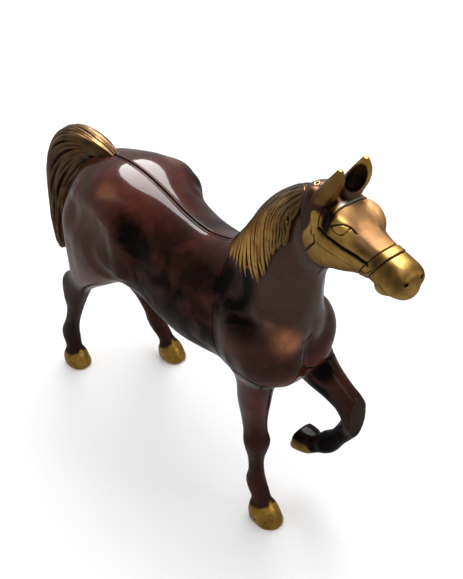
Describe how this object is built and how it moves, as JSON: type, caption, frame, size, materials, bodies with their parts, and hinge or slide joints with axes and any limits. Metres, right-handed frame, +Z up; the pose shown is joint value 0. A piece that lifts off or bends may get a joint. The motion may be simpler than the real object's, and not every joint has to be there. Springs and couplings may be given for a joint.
{
  "type": "horse statue",
  "caption": "Striding horse statue of doweled brass castings: hollow body, head with halter, flowing mane, arched tail, one foreleg raised, standing on three hooves.",
  "frame": {"origin": "on the ground plane of the hooves, below the middle of the overall box", "axes": "+X the way the horse faces, +Y its left side, +Z up"},
  "size_m": [0.3312, 0.0814, 0.297],
  "materials": {
    "lacquered_bronze": "glossy dark brown-red lacquer over bronze, worn to copper on the high places",
    "gold_brass": "polished brass with dark patina in the recesses",
    "mane_brass": "chased brass locks with blackened grooves",
    "tail_bronze": "chased olive-brown bronze hair with blackened grooves",
    "dowel_brass": "plain drawn brass"
  },
  "bodies": {
    "root": {"trunk_right": "lacquered_bronze", "trunk_left": "lacquered_bronze", "forequarters": "lacquered_bronze", "foreleg_right": "lacquered_bronze", "foreleg_left": "lacquered_bronze", "hind_leg_right": "lacquered_bronze", "hind_leg_left": "lacquered_bronze", "head": "gold_brass", "ear_right": "gold_brass", "ear_left": "gold_brass", "mane": "mane_brass", "tail": "tail_bronze", "poll_pin": "dowel_brass", "foreleg_right_dowel": "dowel_brass", "foreleg_left_dowel": "dowel_brass", "hind_leg_right_dowel": "dowel_brass", "hind_leg_left_dowel": "dowel_brass", "head_dowel": "dowel_brass", "tail_dowel": "dowel_brass", "seam_dowel_rear": "dowel_brass", "seam_dowel_middle": "dowel_brass", "seam_dowel_front": "dowel_brass", "shoulder_dowel_right": "dowel_brass", "shoulder_dowel_left": "dowel_brass"}
  },
  "joints": []
}
